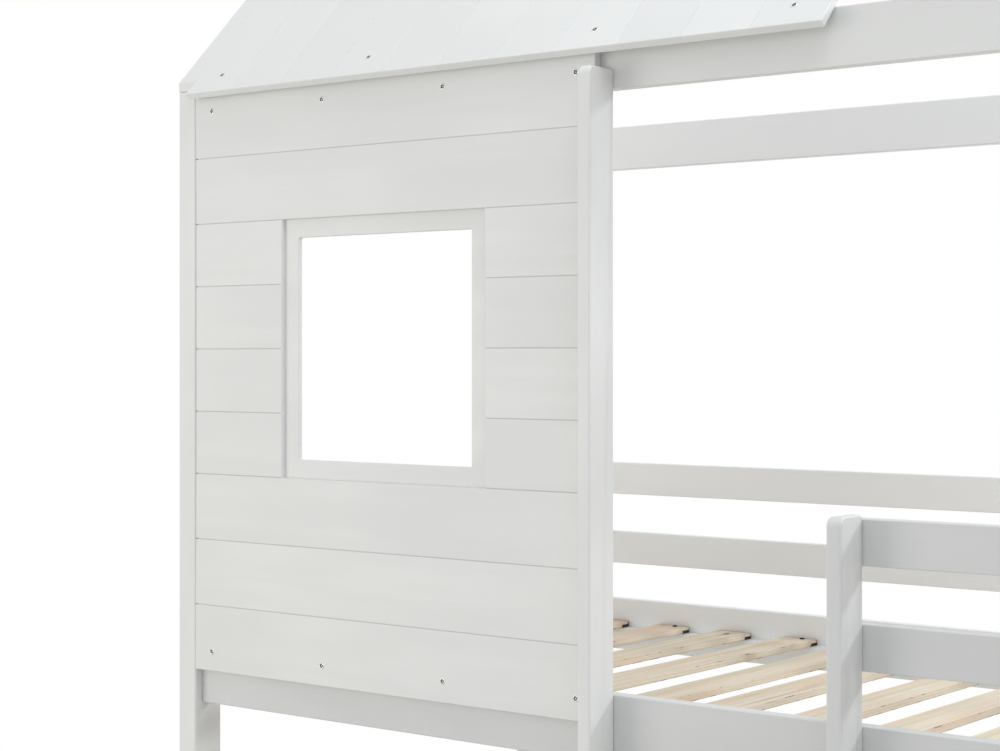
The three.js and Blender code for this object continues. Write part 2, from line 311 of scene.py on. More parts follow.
# mesh from whole arrays, with each point's normal taken from its faces by their area
def makeMesh(name, points, quads, caps, space, masks):
    faces = quads.tolist() + [list(map(int, cap)) for cap in caps]
    mesh = bpy.data.meshes.new(name)
    mesh.from_pydata(points.tolist(), [], faces)
    mesh.polygons.foreach_set("use_smooth", np.ones(len(faces), dtype=bool))
    mesh.normals_split_custom_set_from_vertices(pointNormals(points, quads, caps))
    layer = mesh.attributes.new("boardSpace", "FLOAT_VECTOR", "POINT")
    layer.data.foreach_set("vector", space.astype(np.float32).ravel())
    for key, values in masks.items():
        layer = mesh.attributes.new(key, "FLOAT", "POINT")
        layer.data.foreach_set("value", values.astype(np.float32).ravel())
    return mesh


# a quad's area vector is half the cross product of its diagonals, a cap's is the sum round its rim
def pointNormals(points, quads, caps):
    normals = np.zeros_like(points)
    area = np.cross(points[quads[:, 2]] - points[quads[:, 0]], points[quads[:, 3]] - points[quads[:, 1]]) / 2
    for corner in range(4):
        np.add.at(normals, quads[:, corner], area)
    for cap in caps:
        rim = points[cap]
        normals[cap] += np.cross(rim, np.roll(rim, -1, axis=0)).sum(axis=0) / 2
    length = np.linalg.norm(normals, axis=1, keepdims=True)
    return normals / np.maximum(length, 1e-12)


# puts a finished mesh on the bed in place of a construction piece
def seat(name, mesh, material, slotName, *replaced):
    piece = addObject(name, mesh)
    mesh.materials.append(material)
    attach(piece, "root")
    if replaced:
        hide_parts(*replaced)


# world axes that an outline's first, second and long direction point along
axisOrder = {"x": (1, 2, 0), "y": (2, 0, 1), "z": (0, 1, 2)}
boardRandom = np.random.default_rng(11)
# heart line of the tree: shift across as a share of the width, depth under the face and shift along in metres
heartSet = {"across": 0.6, "under": (0.03, 0.075), "along": 20}


# board's own coordinates: along the fibres, then across and through it from a heart line under its face
def woodSpace(points, along):
    first, second, third = axisOrder[along]
    middle = (points.min(axis=0) + points.max(axis=0)) / 2
    size = np.ptp(points, axis=0)
    wide, thin = (first, second) if size[first] > size[second] else (second, first)
    heart = boardRandom.uniform(-heartSet["across"], heartSet["across"]) * size[wide]
    under = boardRandom.uniform(*heartSet["under"])
    local = [points[:, third], points[:, wide] - middle[wide] + heart, points[:, thin] - middle[thin] + under]
    return np.stack(local, axis=1) + np.array([boardRandom.uniform(0, heartSet["along"]), 0.0, 0.0])


# corner arcs of a convex outline: each arc's centre lies one radius in from both sides that meet there,
# and a corner that lies on a straight side gives one plain point
def cornerArcs(corners, radii, arcSteps):
    corners = np.asarray(corners, float)
    radii = np.broadcast_to(np.asarray(radii, float), (len(corners),))
    leaving = np.roll(corners, -1, axis=0) - corners
    leaving /= np.linalg.norm(leaving, axis=1, keepdims=True)
    arriving = np.roll(leaving, 1, axis=0)
    inLeaving = np.stack([-leaving[:, 1], leaving[:, 0]], axis=1)
    inArriving = np.stack([-arriving[:, 1], arriving[:, 0]], axis=1)
    spread = 1 + np.sum(inLeaving * inArriving, axis=1, keepdims=True)
    centres = corners + radii[:, None] * (inLeaving + inArriving) / spread
    startAngle = np.arctan2(-inArriving[:, 1], -inArriving[:, 0])
    sweep = np.mod(np.arctan2(-inLeaving[:, 1], -inLeaving[:, 0]) - startAngle, 2 * np.pi)
    share = np.linspace(0, 1, arcSteps + 1)
    angle = startAngle[:, None] + sweep[:, None] * share[None, :]
    direction = np.stack([np.cos(angle), np.sin(angle)], axis=-1).reshape(-1, 2)
    ease = np.tile(np.sin(np.pi * share), len(corners))
    kept = ((sweep > 1e-6)[:, None] | (share == 0)[None, :]).ravel()
    centres, radii = np.repeat(centres, arcSteps + 1, axis=0), np.repeat(radii, arcSteps + 1)
    return centres[kept], radii[kept], direction[kept], ease[kept]


# convex outline with rounded corners carried along a span and drawn in at both ends:
# point = arc centre + (corner radius - inset) * arc direction, with inset = end radius * (1 - sin a)
# and the ring end radius * (1 - cos a) inside the end, as a goes from 0 to 90 degrees
def softPrism(corners, radii, along, low, high, endRadius, arcSteps=5, endSteps=4):
    centre, radius, direction, arcEase = cornerArcs(corners, radii, arcSteps)
    bend = np.linspace(0, np.pi / 2, endSteps + 1)
    setback = endRadius * (1 - np.cos(bend))
    inset = endRadius * (1 - np.sin(bend))
    places = np.concatenate([low + setback, high - setback[::-1]])
    insets = np.concatenate([inset, inset[::-1]])
    flat = centre[None] + (radius[None, :, None] - insets[:, None, None]) * direction[None]
    rings, sides = len(places), len(direction)
    points = np.empty((rings, sides, 3))
    first, second, third = axisOrder[along]
    points[..., first] = flat[..., 0]
    points[..., second] = flat[..., 1]
    points[..., third] = places[:, None]
    quads = gridQuads(rings, sides, wrapAcross=True)
    caps = [np.arange(sides)[::-1], np.arange(sides) + (rings - 1) * sides]
    endEase = np.sin(2 * np.concatenate([bend, bend[::-1]]))
    cut = np.zeros((rings, sides))
    cut[[0, -1]] = 1.0
    share = (places - (low + high) / 2) / ((high - low) / 2)
    masks = {
        "easing": np.maximum(arcEase[None, :], endEase[:, None]).ravel(),
        "cutEnd": cut.ravel(),
        "lengthwise": np.repeat(share, sides),
    }
    return points.reshape(-1, 3), quads, caps, masks


def boxOf(node):
    return (np.array(corner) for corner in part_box(node))


# box with its long edges and its ends eased
def boxShape(low, high, along, values, **steps):
    first, second, third = axisOrder[along]
    corners = [
        (low[first], low[second]),
        (high[first], low[second]),
        (high[first], high[second]),
        (low[first], high[second]),
    ]
    return softPrism(corners, values["edgeRadius"], along, low[third], high[third], values["endRadius"], **steps)


def seatBoard(node, shape, along, material, slotName="white_paint"):
    points, quads, caps, masks = shape
    mesh = makeMesh(node, points, quads, caps, woodSpace(points, along), masks)
    seat(node + "_board", mesh, material, slotName, node)


# board that fills a construction piece's box
def layBoard(node, along, material, values):
    seatBoard(node, boxShape(*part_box(node), along, values), along, material)


# one shape set down many times: every copy's points move by its own offset
def repeatShape(points, quads, caps, masks, offsets):
    offsets = np.asarray(offsets, float)
    many = (points[None] + offsets[:, None, :]).reshape(-1, 3)
    manyCaps = [cap + step * len(points) for step in range(len(offsets)) for cap in caps]
    manyMasks = {key: np.tile(mask, len(offsets)) for key, mask in masks.items()}
    return many, repeatQuads(quads, len(points), len(offsets)), manyCaps, manyMasks


def repeatQuads(quads, pointCount, copies):
    steps = np.arange(copies)[:, None, None] * pointCount
    return (quads[None] + steps).reshape(-1, 4)


# grid lines that ease an edge lie radius * (1 - cos a) from it, as a goes from 0 to 90 degrees
def edgeLines(radius, steps=4):
    return radius * (1 - np.cos(np.linspace(0, np.pi / 2, steps + 1)))


# drop of an eased edge: radius - root(radius squared - (radius - distance) squared)
def edgeDrop(distance, radius):
    left = radius - np.clip(distance, 0, radius)
    return radius - np.sqrt(np.maximum(radius ** 2 - left ** 2, 0))


# drop of the nearest groove: depth * (1 - distance / half width) to the power 1.25, soft at the shoulders
def grooveDrop(place, seams, halfWidth, depth):
    distance = np.abs(place[..., None] - np.asarray(seams)).min(axis=-1)
    return depth * (1 - np.clip(distance / halfWidth, 0, 1)) ** 1.25


def grooveLines(seams, halfWidth):
    share = np.array([0.0, 0.12, 0.3, 0.55, 0.8, 1.0])
    return (np.asarray(seams)[:, None] + np.concatenate([-share, share]) * halfWidth).ravel()


def sortedLines(*parts):
    return np.unique(np.round(np.concatenate([np.atleast_1d(part) for part in parts]), 7))


# sheet: a grid of lines across and up, with a front and a back surface at their own depths,
# and a wall wherever a kept cell borders on one that is left out or on the outside
def sheetShape(across, up, frontDepth, backDepth, kept, place):
    rows, columns = len(up), len(across)
    wide, high = np.meshgrid(across, up)
    points = np.concatenate([place(wide, high, depth).reshape(-1, 3) for depth in (frontDepth, backDepth)])
    index = np.arange(rows * columns).reshape(rows, columns)
    far = index + rows * columns
    cells = gridQuads(rows, columns)[kept.ravel()]
    padded = np.pad(kept, 1)
    below, above = padded[:-1, 1:-1], padded[1:, 1:-1]
    left, right = padded[1:-1, :-1], padded[1:-1, 1:]
    level = np.stack([index[:, 1:], index[:, :-1], far[:, :-1], far[:, 1:]], axis=-1)
    plumb = np.stack([index[:-1], index[1:], far[1:], far[:-1]], axis=-1)
    walls = [
        level[above & ~below],
        level[below & ~above][:, [1, 0, 3, 2]],
        plumb[right & ~left],
        plumb[left & ~right][:, [1, 0, 3, 2]],
    ]
    quads = np.concatenate([cells, cells[:, ::-1] + rows * columns, *walls])
    used, renamed = np.unique(quads, return_inverse=True)
    return points, renamed.reshape(quads.shape), used


# a sheet's planks: how far chance moves their wood along and across, and where their heart line lies
plankSet = {"along": 3.0, "heart": 0.06, "pitch": 0.11, "heartShift": 0.085, "depth": 0.05}


# seats a grooved sheet: each plank between two seams has its own place in the wood, and the masks mark the
# eased edges of both faces and the painted shade in the grooves of the front
def seatSheet(name, node, shape, alongPlanks, acrossPlanks, seams, edge, edgeRadius, hollowShade):
    points, quads, used = shape
    alongPlanks, acrossPlanks = alongPlanks.ravel(), acrossPlanks.ravel()
    plank = np.searchsorted(seams, acrossPlanks)
    jitter = boardRandom.uniform(0, 1, (len(seams) + 1, 2)) * np.array([plankSet["along"], plankSet["heart"]])
    heart = acrossPlanks % plankSet["pitch"] - plankSet["heartShift"] + jitter[plank, 1]
    depth = np.full(acrossPlanks.size, plankSet["depth"])
    space = np.stack([alongPlanks + jitter[plank, 0], heart, depth], axis=1)
    masks = {
        "easing": np.tile(np.clip(2 * edge / edgeRadius, 0, 1).ravel(), 2)[used],
        "hollowShade": np.concatenate([hollowShade.ravel(), np.zeros(hollowShade.size)])[used],
    }
    mesh = makeMesh(name, points[used], quads, [], np.tile(space, (2, 1))[used], masks)
    seat(name, mesh, paint, "white_paint", node)


# materials
# the back boards get a lighter copy of the white, as painted light, and the front boards on the ladder side a
# darker copy, as painted shade
paintTones = {
    "satinWhite": {"color": srgb(229, 230, 228), "shade": srgb(225, 226, 224), "grain": srgb(219, 220, 217)},
    "backWhitePaintedLight": {"color": srgb(250, 251, 251), "shade": srgb(247, 248, 248), "grain": srgb(239, 240, 239)},
    "frontWhitePaintedShade": {"color": srgb(215, 216, 215), "shade": srgb(211, 212, 211), "grain": srgb(205, 206, 204)},
}
paintSet = {
    # a painted highlight on the eased edges, and painted shade in the grooves
    "edgeHighlightColor": srgb(233, 233, 230),
    "edgeAmount": 0.5,
    "hollowShadeColor": srgb(64, 62, 58),
    "hollowShadeAmount": 0.65,
    "fibreAmount": 0.1,
    "ringAmount": 0.05,
    "ringGap": 0.006,
    "roughness": 0.42,
    "bumpDepth": 0.03 * mm,
}
pineSet = {
    "light": srgb(238, 227, 207),
    "dark": srgb(214, 196, 169),
    "edge": srgb(146, 124, 98),
    "blush": srgb(230, 202, 177),
    "sage": srgb(210, 203, 174),
    "resin": srgb(128, 98, 70),
    "knot": srgb(44, 32, 24),
    "rim": srgb(196, 164, 128),
    "stain": srgb(140, 92, 62),
    "ringAmount": 0.55,
    "fibreAmount": 0.35,
    "blushAmount": 0.85,
    "sageAmount": 0.7,
    "resinAmount": 0.6,
    "rimAmount": 0.45,
    "edgeAmount": 0.45,
    "knotBend": 0.006,
    "stainFrom": (0.984, 0.999),
    # where along the slat the painted shadow spot begins
    "shadowSpotFrom": (0.945, 0.953),
    "roughness": 0.62,
    "bumpDepth": 0.12 * mm,
}
# recess is the colour of the painted shade in the driver's recess
screwMetals = {
    "zincSteel": {
        "color": srgb(232, 232, 232), "scratch": srgb(140, 140, 140), "recess": srgb(8, 8, 8),
        "roughness": 0.24, "bumpDepth": 0.03 * mm,
    },
    "blackScrew": {
        "color": srgb(30, 29, 28), "scratch": srgb(70, 70, 70), "recess": srgb(10, 10, 10),
        "roughness": 0.45, "bumpDepth": 0.03 * mm,
    },
}
# gap is the painted shade where the threads dip under
webbingSet = {
    "color": srgb(222, 222, 217),
    "gap": srgb(176, 176, 170),
    "thread": 1.1 * mm,
    "roughness": 0.85,
    "bumpDepth": 0.2 * mm,
}


# wood grain: yearly rings round a wandering heart line, each with a dark late edge,
# fine fibres, and now and then a thin resin streak
def makeGrainGroup():
    group, start, end = newGroup("woodGrain", {"Ring Gap": 0.0036}, ["Rings", "Fibre", "Streak"])
    vector = start.outputs["Vector"]
    wanderNoise = noise(group, vector, (0.8, 4.0, 4.0), 1.0)
    wander = product(group, mathNode(group, "SUBTRACT", wanderNoise, 0.5), 0.03)
    parts = wire(group, addNode(group, "ShaderNodeSeparateXYZ"), {0: vector})
    across = mathNode(group, "ADD", parts.outputs[1], wander)
    depthSquare = product(group, parts.outputs[2], parts.outputs[2])
    squares = mathNode(group, "MULTIPLY_ADD", across, across, depthSquare)
    year = mathNode(group, "DIVIDE", mathNode(group, "SQRT", squares), start.outputs["Ring Gap"])
    share = mathNode(group, "FRACT", year)
    late = product(group, smoothRange(group, share, 0.35, 0.85), smoothRange(group, share, 1.0, 0.9))
    breakUp = noise(group, vector, (4.0, 90.0, 90.0))
    rings = product(group, late, smoothRange(group, breakUp, 0.25, 0.6, 0.25, 1.0))
    fibre = noise(group, vector, (9.0, 620.0, 620.0))
    streakNoise = noise(group, vector, (5.0, 190.0, 190.0), 1.0)
    wire(group, end, {"Rings": rings, "Fibre": fibre, "Streak": smoothRange(group, streakNoise, 0.68, 0.78)})
    return group


# knots: cells of a lattice stretched along the board, of which a few hold a dark spot with a warm rim
def makeKnotGroup():
    group, start, end = newGroup("woodKnots", {"Size": 0.062, "Share": 0.42}, ["Knot", "Rim"])
    cells = addNode(group, "ShaderNodeTexVoronoi", feature="F1", voronoi_dimensions="3D")
    wire(group, cells, {"Vector": scaleVector(group, start.outputs["Vector"], (5.0, 14.0, 8.0)), "Scale": 1.0})
    pick = wire(group, addNode(group, "ShaderNodeSeparateColor"), {0: cells.outputs["Color"]})
    chosen = mathNode(group, "LESS_THAN", pick.outputs[0], start.outputs["Share"])
    size = product(group, start.outputs["Size"], mathNode(group, "ADD", pick.outputs[1], 0.3))
    near = mathNode(group, "DIVIDE", cells.outputs["Distance"], size)
    knot = product(group, smoothRange(group, near, 1.0, 0.7), chosen)
    rim = product(group, smoothRange(group, near, 3.2, 1.0), chosen)
    wire(group, end, {"Knot": knot, "Rim": rim})
    return group


# eased edges: the eased edge's own mask, broken up by noise so that it comes and goes; the paint whitens them as
# a painted highlight, the pine darkens them
def makeEdgeGroup():
    group, start, end = newGroup("easedEdge", {"Easing": 0.0, "Amount": 0.5}, ["Mask"])
    patches = noise(group, start.outputs["Vector"], (14.0, 60.0, 60.0), 3.0)
    broken = smoothRange(group, patches, 0.3, 0.65, 0.35, 1.0)
    mask = product(group, mathNode(group, "POWER", start.outputs["Easing"], 1.5), broken)
    wire(group, end, {"Mask": product(group, mask, start.outputs["Amount"], clamp=True)})
    return group


grainGroup = makeGrainGroup()
knotGroup = makeKnotGroup()
edgeGroup = makeEdgeGroup()


def attribute(tree, name):
    node = addNode(tree, "ShaderNodeAttribute", attribute_name=name)
    return node.outputs["Vector"] if name == "boardSpace" else node.outputs["Fac"]


def finishSurface(tree, output, color, roughness, height, bumpDistance, metallic=0.0):
    bump = addNode(tree, "ShaderNodeBump")
    wire(tree, bump, {"Strength": 1.0, "Distance": bumpDistance, "Height": height})
    surface = addNode(tree, "ShaderNodeBsdfPrincipled")
    looks = {"Base Color": color, "Roughness": roughness, "Metallic": metallic, "Normal": bump.outputs[0]}
    wire(tree, surface, looks)
    wire(tree, output, {"Surface": surface.outputs[0]})


# satin paint: broad cloudiness, brush lines along the fibres, a little grain showing through,
# a painted highlight on the eased edges, and painted shade in the grooves
def makePaint(name, tones, values):
    material, tree, output = startMaterial(name)
    vector = attribute(tree, "boardSpace")
    grain = placeGroup(tree, grainGroup, {"Vector": vector, "Ring Gap": values["ringGap"]})
    easing = attribute(tree, "easing")
    edge = placeGroup(tree, edgeGroup, {"Vector": vector, "Easing": easing, "Amount": values["edgeAmount"]})
    cloud = noise(tree, vector, (2.5, 11.0, 11.0), 3.0)
    color = mixColor(tree, smoothRange(tree, cloud, 0.3, 0.7), tones["color"], tones["shade"])
    fibreTone = smoothRange(tree, grain.outputs["Fibre"], 0.35, 0.75, 0.0, values["fibreAmount"])
    color = mixColor(tree, fibreTone, color, tones["grain"])
    color = mixColor(tree, product(tree, grain.outputs["Rings"], values["ringAmount"]), color, tones["grain"])
    # painted highlight: the eased edges turn whiter
    color = mixColor(tree, edge.outputs["Mask"], color, values["edgeHighlightColor"])
    # painted shade in the grooves
    hollowShade = product(tree, attribute(tree, "hollowShade"), values["hollowShadeAmount"], clamp=True)
    color = mixColor(tree, hollowShade, color, values["hollowShadeColor"])
    peel = noise(tree, vector, (300.0, 420.0, 420.0), 1.0)
    roughness = smoothRange(tree, cloud, 0.25, 0.75, values["roughness"] - 0.05, values["roughness"] + 0.06)
    height = mathNode(tree, "MULTIPLY_ADD", grain.outputs["Fibre"], 0.5, product(tree, peel, 0.3))
    height = mathNode(tree, "MULTIPLY_ADD", grain.outputs["Rings"], 0.25, height)
    finishSurface(tree, output, color, roughness, height, values["bumpDepth"])
    return material


# raw pine: rings bent round the knots, fibres, warm and cool bands, resin streaks, darker eased edges with
# small nicks, brown cut ends, and a painted shadow: a black spot at both ends of the lower right edge
def makePine(values):
    material, tree, output = startMaterial("rawPine")
    vector = attribute(tree, "boardSpace")
    easing = attribute(tree, "easing")
    knots = placeGroup(tree, knotGroup, {"Vector": vector})
    bend = product(tree, knots.outputs["Rim"], values["knotBend"])
    shift = wire(tree, addNode(tree, "ShaderNodeCombineXYZ"), {1: bend})
    bent = addNode(tree, "ShaderNodeVectorMath", operation="ADD")
    wire(tree, bent, {0: vector, 1: shift.outputs[0]})
    grain = placeGroup(tree, grainGroup, {"Vector": bent.outputs[0]})
    edge = placeGroup(tree, edgeGroup, {"Vector": vector, "Easing": easing, "Amount": values["edgeAmount"]})
    warmBand = noise(tree, vector, (2.2, 34.0, 34.0))
    coolBand = noise(tree, vector, (1.6, 46.0, 27.0))
    nickNoise = noise(tree, vector, (34.0, 160.0, 160.0), 1.0)
    reach = mathNode(tree, "ABSOLUTE", attribute(tree, "lengthwise"))
    stain = product(tree, smoothRange(tree, reach, *values["stainFrom"]), smoothRange(tree, warmBand, 0.3, 0.6))
    lowerEdge = smoothRange(tree, attribute(tree, "lowerEdge"), 0.45, 0.6)
    layers = [
        (product(tree, grain.outputs["Rings"], values["ringAmount"]), "dark"),
        (smoothRange(tree, grain.outputs["Fibre"], 0.3, 0.75, 0.0, values["fibreAmount"]), "dark"),
        (smoothRange(tree, warmBand, 0.42, 0.66, 0.0, values["blushAmount"]), "blush"),
        (smoothRange(tree, coolBand, 0.46, 0.7, 0.0, values["sageAmount"]), "sage"),
        (product(tree, grain.outputs["Streak"], values["resinAmount"]), "resin"),
        (product(tree, knots.outputs["Rim"], values["rimAmount"]), "rim"),
        (knots.outputs["Knot"], "knot"),
        (edge.outputs["Mask"], "edge"),
        (product(tree, smoothRange(tree, nickNoise, 0.61, 0.66), easing), "knot"),
        (mathNode(tree, "MAXIMUM", stain, attribute(tree, "cutEnd")), "stain"),
        # painted shadow: a black spot at both ends of the lower right edge
        (product(tree, lowerEdge, smoothRange(tree, reach, *values["shadowSpotFrom"])), "knot"),
    ]
    color = values["light"]
    for amount, tone in layers:
        color = mixColor(tree, amount, color, values[tone])
    height = mathNode(tree, "MULTIPLY_ADD", grain.outputs["Rings"], 0.4, grain.outputs["Fibre"])
    finishSurface(tree, output, color, values["roughness"], height, values["bumpDepth"])
    return material


# plated or blackened screw metal: fine scratches, and painted shade in the driver's recess
def makeScrewMetal(name, values):
    material, tree, output = startMaterial(name)
    vector = attribute(tree, "boardSpace")
    scratch = noise(tree, vector, (900.0, 900.0, 900.0))
    color = mixColor(tree, smoothRange(tree, scratch, 0.3, 0.7, 0.0, 0.35), values["color"], values["scratch"])
    # painted shade in the driver's recess
    color = mixColor(tree, attribute(tree, "hollowShade"), color, values["recess"])
    roughness = smoothRange(tree, scratch, 0.2, 0.8, values["roughness"] - 0.05, values["roughness"] + 0.15)
    finishSurface(tree, output, color, roughness, scratch, values["bumpDepth"], metallic=1.0)
    return material


# webbing: threads along and across pass over and under each other, height = product of two sine waves, with
# painted shade where they dip under
def makeWebbing(values):
    material, tree, output = startMaterial("webbing")
    vector = attribute(tree, "boardSpace")
    parts = wire(tree, addNode(tree, "ShaderNodeSeparateXYZ"), {0: vector})
    turn = math.pi / values["thread"]
    waves = [mathNode(tree, "SINE", product(tree, parts.outputs[axis], turn)) for axis in (0, 1)]
    weave = product(tree, *waves)
    fuzz = noise(tree, vector, (1500.0, 1500.0, 1500.0))
    height = mathNode(tree, "MULTIPLY_ADD", fuzz, 0.3, weave)
    # painted shade where the threads dip under
    color = mixColor(tree, smoothRange(tree, weave, -0.6, 0.3), values["gap"], values["color"])
    finishSurface(tree, output, color, values["roughness"], height, values["bumpDepth"])
    return material


paint, backPaintedLight, frontPaintedShade = (makePaint(name, tones, paintSet) for name, tones in paintTones.items())
pine = makePine(pineSet)
zinc, blackened = (makeScrewMetal(name, values) for name, values in screwMetals.items())
webbingCloth = makeWebbing(webbingSet)
print("materials made")

# painted boards: rails, ledges, guards, beams, ties and rungs
boardSet = {"edgeRadius": 2.2 * mm, "endRadius": 1.0 * mm}
postSet = {"edgeRadius": 4.2 * mm, "endRadius": 1.5 * mm}
rungSet = {"edgeRadius": 4.0 * mm, "endRadius": 0.8 * mm}
boardsAlongX = [
    "upper_rail_front", "upper_rail_back", "upper_ledge_front", "upper_ledge_back",
    "lower_rail_front", "lower_rail_back", "lower_ledge_front", "lower_ledge_back",
    "guard_front_low", "guard_front_high", "guard_back_low", "guard_back_high",
    "eaves_beam_front", "eaves_beam_back", "ridge_beam",
]
boardsAlongY = [
    "upper_rail_left", "upper_rail_right", "lower_rail_left", "lower_rail_right",
    "guard_left_low", "guard_left_high", "guard_right_low", "guard_right_high",
    "eaves_tie_left", "eaves_tie_right",
]
# back boards take the lighter copy of the white as painted light, front boards the darker copy as painted shade
backBoards = [
    "upper_rail_back", "upper_ledge_back", "upper_ledge_front",
    "guard_back_low", "guard_back_high", "eaves_beam_back",
]
frontBoards = ["upper_rail_front", "guard_front_low", "guard_front_high", "ladder_stile_short"]
paintOf = {**dict.fromkeys(backBoards, backPaintedLight), **dict.fromkeys(frontBoards, frontPaintedShade)}
for along, names in (("x", boardsAlongX), ("y", boardsAlongY)):
    for node in names:
        layBoard(node, along, paintOf.get(node, paint), boardSet)
for corner in ("front_left", "front_right", "back_left", "back_right"):
    layBoard(f"post_{corner}", "z", paint, postSet)
for rung in (1, 2, 3):
    layBoard(f"ladder_rung_{rung}", "x", paint, rungSet)
print("boards, posts and rungs made")

# rafters: level seat, plumb heel and plumb tip, seen from the side, carried across the post's width
roofPitch = math.radians(46.0)
rafterSet = {"heel": 16 * mm, "depth": 60 * mm, "heart": 50 * mm, "edgeRadius": 2.6 * mm, "endRadius": 2.2 * mm}


def layRafter(node, values, isFront):
    low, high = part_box(node)
    upright = values["depth"] / math.cos(roofPitch)
    seatLength = (upright - values["heel"]) / math.tan(roofPitch)
    toe, tip, toward = (low.y, high.y, 1) if isFront else (high.y, low.y, -1)
    corners = [
        (toe, low.z),
        (toe + toward * seatLength, low.z),
        (tip, high.z - upright),
        (tip, high.z),
        (toe, low.z + values["heel"]),
    ]
    corners = corners if isFront else corners[::-1]
    points, quads, caps, masks = softPrism(corners, values["edgeRadius"], "x", low.x, high.x, values["endRadius"])
    slope = np.array([0.0, math.cos(roofPitch) * toward, math.sin(roofPitch)])
    through = np.array([0.0, -slope[2], slope[1]])
    space = np.stack([points @ slope, points @ through, points[:, 0] + values["heart"]], axis=1)
    mesh = makeMesh(node, points, quads, caps, space, masks)
    seat(node + "_board", mesh, paint, "white_paint", node)


for side in ("left", "right"):
    layRafter(f"rafter_front_{side}", rafterSet, True)
    layRafter(f"rafter_back_{side}", rafterSet, False)
print("rafters made")

# ladder stiles: the side view has one well rounded top corner at the front, and the whole top is
# rounded over to both sides: within one radius of the top the half width is at most
# half - radius + root(radius squared - height above that line squared)
stileSet = {
    "topRadius": 13 * mm,
    "cornerRadius": 3.8 * mm,
    "faceRadius": 3.2 * mm,
    "overRadius": 7 * mm,
    "shoulderShare": 1.6,
}


def layStile(node, values):
    low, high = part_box(node)
    shoulder = high.z - values["shoulderShare"] * values["topRadius"]
    front = [(low.y, high.z), (low.y, shoulder)]
    corners = [(low.y, low.z), (high.y, low.z), (high.y, shoulder), (high.y, high.z), *front]
    radii = [values["cornerRadius"]] * 4 + [values["topRadius"], values["cornerRadius"]]
    points, quads, caps, masks = softPrism(corners, radii, "x", low.x, high.x, values["faceRadius"], arcSteps=8)
    over = np.clip(points[:, 2] - (high.z - values["overRadius"]), 0, values["overRadius"])
    middle, half = (low.x + high.x) / 2, (high.x - low.x) / 2
    widest = half - values["overRadius"] + np.sqrt(values["overRadius"] ** 2 - over ** 2)
    points[:, 0] = middle + np.clip(points[:, 0] - middle, -widest, widest)
    seatBoard(node, (points, quads, caps, masks), "z", paintOf.get(node, paint))


for node in ("ladder_stile_tall", "ladder_stile_short"):
    layStile(node, stileSet)
print("ladder stiles made")

# slats of the upper bunk
slatSet = {"count": 14, "edgeRadius": [1.8 * mm, 1.0 * mm, 1.0 * mm, 1.8 * mm], "endRadius": 0.6 * mm}


# a slat's lower right edge carries its own mask, for the painted shadow, a black spot, at each end
def laySlat(node, values):
    points, quads, caps, masks = boxShape(*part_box(node), "y", values)
    middle = (points.min(axis=0) + points.max(axis=0)) / 2
    masks["lowerEdge"] = ((points[:, 0] > middle[0]) & (points[:, 2] < middle[2])).astype(float)
    seatBoard(node, (points, quads, caps, masks), "y", pine, "raw_pine")


for index in range(1, slatSet["count"] + 1):
    laySlat(f"upper_slat_{index}", slatSet)
print("upper slats made")

# slats of the lower bunk, evenly spaced, on two strips of webbing
rollSet = {
    "pitch": 140 * mm,
    "width": 70 * mm,
    "thickness": 11 * mm,
    "webWidth": 16 * mm,
    "webThickness": 1.4 * mm,
    "webInset": 40 * mm,
    "sink": 0.4 * mm,
    "stripEnd": 3 * mm,
}
webSet = {"edgeRadius": 0.35 * mm, "endRadius": 0.3 * mm}


def layRoll(values):
    low, high = boxOf("lower_slat_roll")
    slatLow = np.array([low[0], low[1], high[2] - values["thickness"]])
    slatHigh = np.array([low[0] + values["width"], high[1], high[2]])
    shape = boxShape(slatLow, slatHigh, "y", slatSet)
    offsets = np.zeros((slatSet["count"], 3))
    offsets[:, 0] = np.arange(slatSet["count"]) * values["pitch"]
    points, quads, caps, masks = repeatShape(*shape, offsets)
    space = np.concatenate([woodSpace(shape[0], "y") for _ in offsets])
    mesh = makeMesh("lower_slats", points, quads, caps, space, masks)
    seat("lower_slats", mesh, pine, "raw_pine", "lower_slat_roll")
    stripLow = np.array([low[0] + values["stripEnd"], low[1] + values["webInset"], low[2]])
    stripHigh = np.array([high[0] - values["stripEnd"], stripLow[1] + values["webWidth"],
                          low[2] + values["webThickness"] - values["sink"]])
    strip = boxShape(stripLow, stripHigh, "x", webSet, arcSteps=2, endSteps=2)[:3]
    gap = (high[1] - values["webInset"] - values["webWidth"]) - stripLow[1]
    points, quads, caps, _ = repeatShape(*strip, {}, [(0, 0, 0), (0, gap, 0)])
    mesh = makeMesh("slat_webbing", points, quads, caps, points, {})
    seat("slat_webbing", mesh, webbingCloth, "webbing")


layRoll(rollSet)
print("lower slats and webbing made")

# wall sheet: level grooves make it look like planks, and the window is left out of it
wallSet = {
    "grooveHalf": 1.2 * mm,
    "grooveDepth": 1.1 * mm,
    "edgeRadius": 1.5 * mm,
    "holeRadius": (3.2 * mm, 0.8 * mm),
    "fit": 0.02 * mm,
    "rowsBelow": 3,
    "rowsBeside": 4,
    "rowsAbove": 2,
    "grooveStop": 4 * mm,
    "grooveShade": 0.3,
    "endShade": 2.8,
    "endShadeReach": 5 * mm,
    "bowReach": 100 * mm,
    "bowHeights": [0.85, 0.965, 1.032, 1.1, 1.234, 1.44, 1.654, 1.785, 1.82],
    "bowInsets": [0.0, 0.2 * mm, 0.6 * mm, 0.9 * mm, 1.4 * mm, 1.5 * mm, 1.2 * mm, 0.4 * mm, 0.3 * mm],
}


